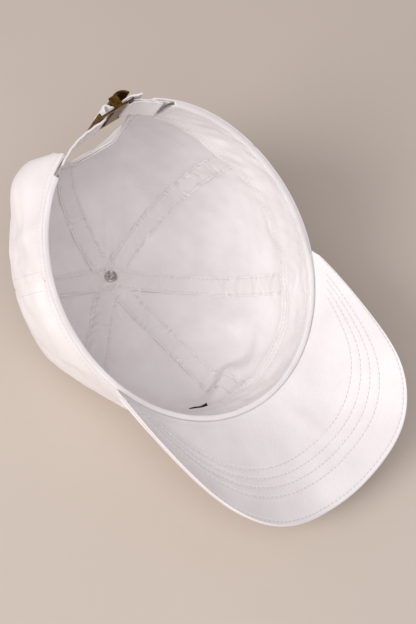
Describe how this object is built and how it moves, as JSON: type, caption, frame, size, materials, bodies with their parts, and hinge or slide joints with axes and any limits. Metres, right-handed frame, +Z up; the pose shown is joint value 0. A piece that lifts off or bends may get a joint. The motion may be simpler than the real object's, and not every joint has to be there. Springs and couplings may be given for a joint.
{
  "type": "baseball cap",
  "caption": "Soft cotton-twill six-panel baseball cap lying on its crown, with a curved visor, sweatband, rear arch, strap and flip-lever buckle.",
  "frame": {"origin": "middle of the footprint on the floor, with the cap lying on its crown and the opening up", "axes": "+Z up, the visor towards -Y, the wearer's right towards +X; the cap leans 35.5 degrees towards its visor"},
  "size_m": [0.166, 0.2612, 0.1565],
  "materials": {
    "panel_twill": "matte cotton twill",
    "seam_tape": "matte twill tape",
    "sweatband_twill": "matte cotton twill",
    "interlining": "non-woven",
    "woven_tab": "matte black weave",
    "visor_board": "moulded polyethylene sheet",
    "thread": "spun polyester thread",
    "strap_twill": "matte cotton twill",
    "antique_brass": "aged, worn bright on the edges",
    "button_steel": "plain",
    "nickel_steel": "nickel plated"
  },
  "bodies": {
    "cap": {"arch_binding": "seam_tape", "back_panel_left": "panel_twill", "back_panel_right": "panel_twill", "buckle_frame": "antique_brass", "buckle_pin": "antique_brass", "button_cover": "panel_twill", "button_rivet": "nickel_steel", "button_shank": "nickel_steel", "button_shell": "button_steel", "front_panel_left": "panel_twill", "front_panel_right": "panel_twill", "seam_tape_back": "seam_tape", "seam_tape_crossing": "seam_tape", "seam_tape_front": "seam_tape", "seam_tape_left_front": "seam_tape", "seam_tape_right_back": "seam_tape", "side_panel_left": "panel_twill", "side_panel_right": "panel_twill", "strap_anchor": "strap_twill", "strap_long": "strap_twill", "sweatband": "sweatband_twill", "sweatband_interlining": "interlining", "visor_board": "visor_board", "visor_top_cover": "panel_twill", "visor_topstitching": "thread", "visor_under_cover": "panel_twill", "woven_tab": "woven_tab"},
    "lever": {"buckle_lever": "antique_brass"}
  },
  "joints": [
    {"name": "buckle_lever_hinge", "type": "hinge", "parent": "cap", "child": "lever", "pos_m": [0.0102, 0.10124, 0.14373], "axis": [0, -0.3987, 0.9171], "range_deg": [0, 100]}
  ]
}
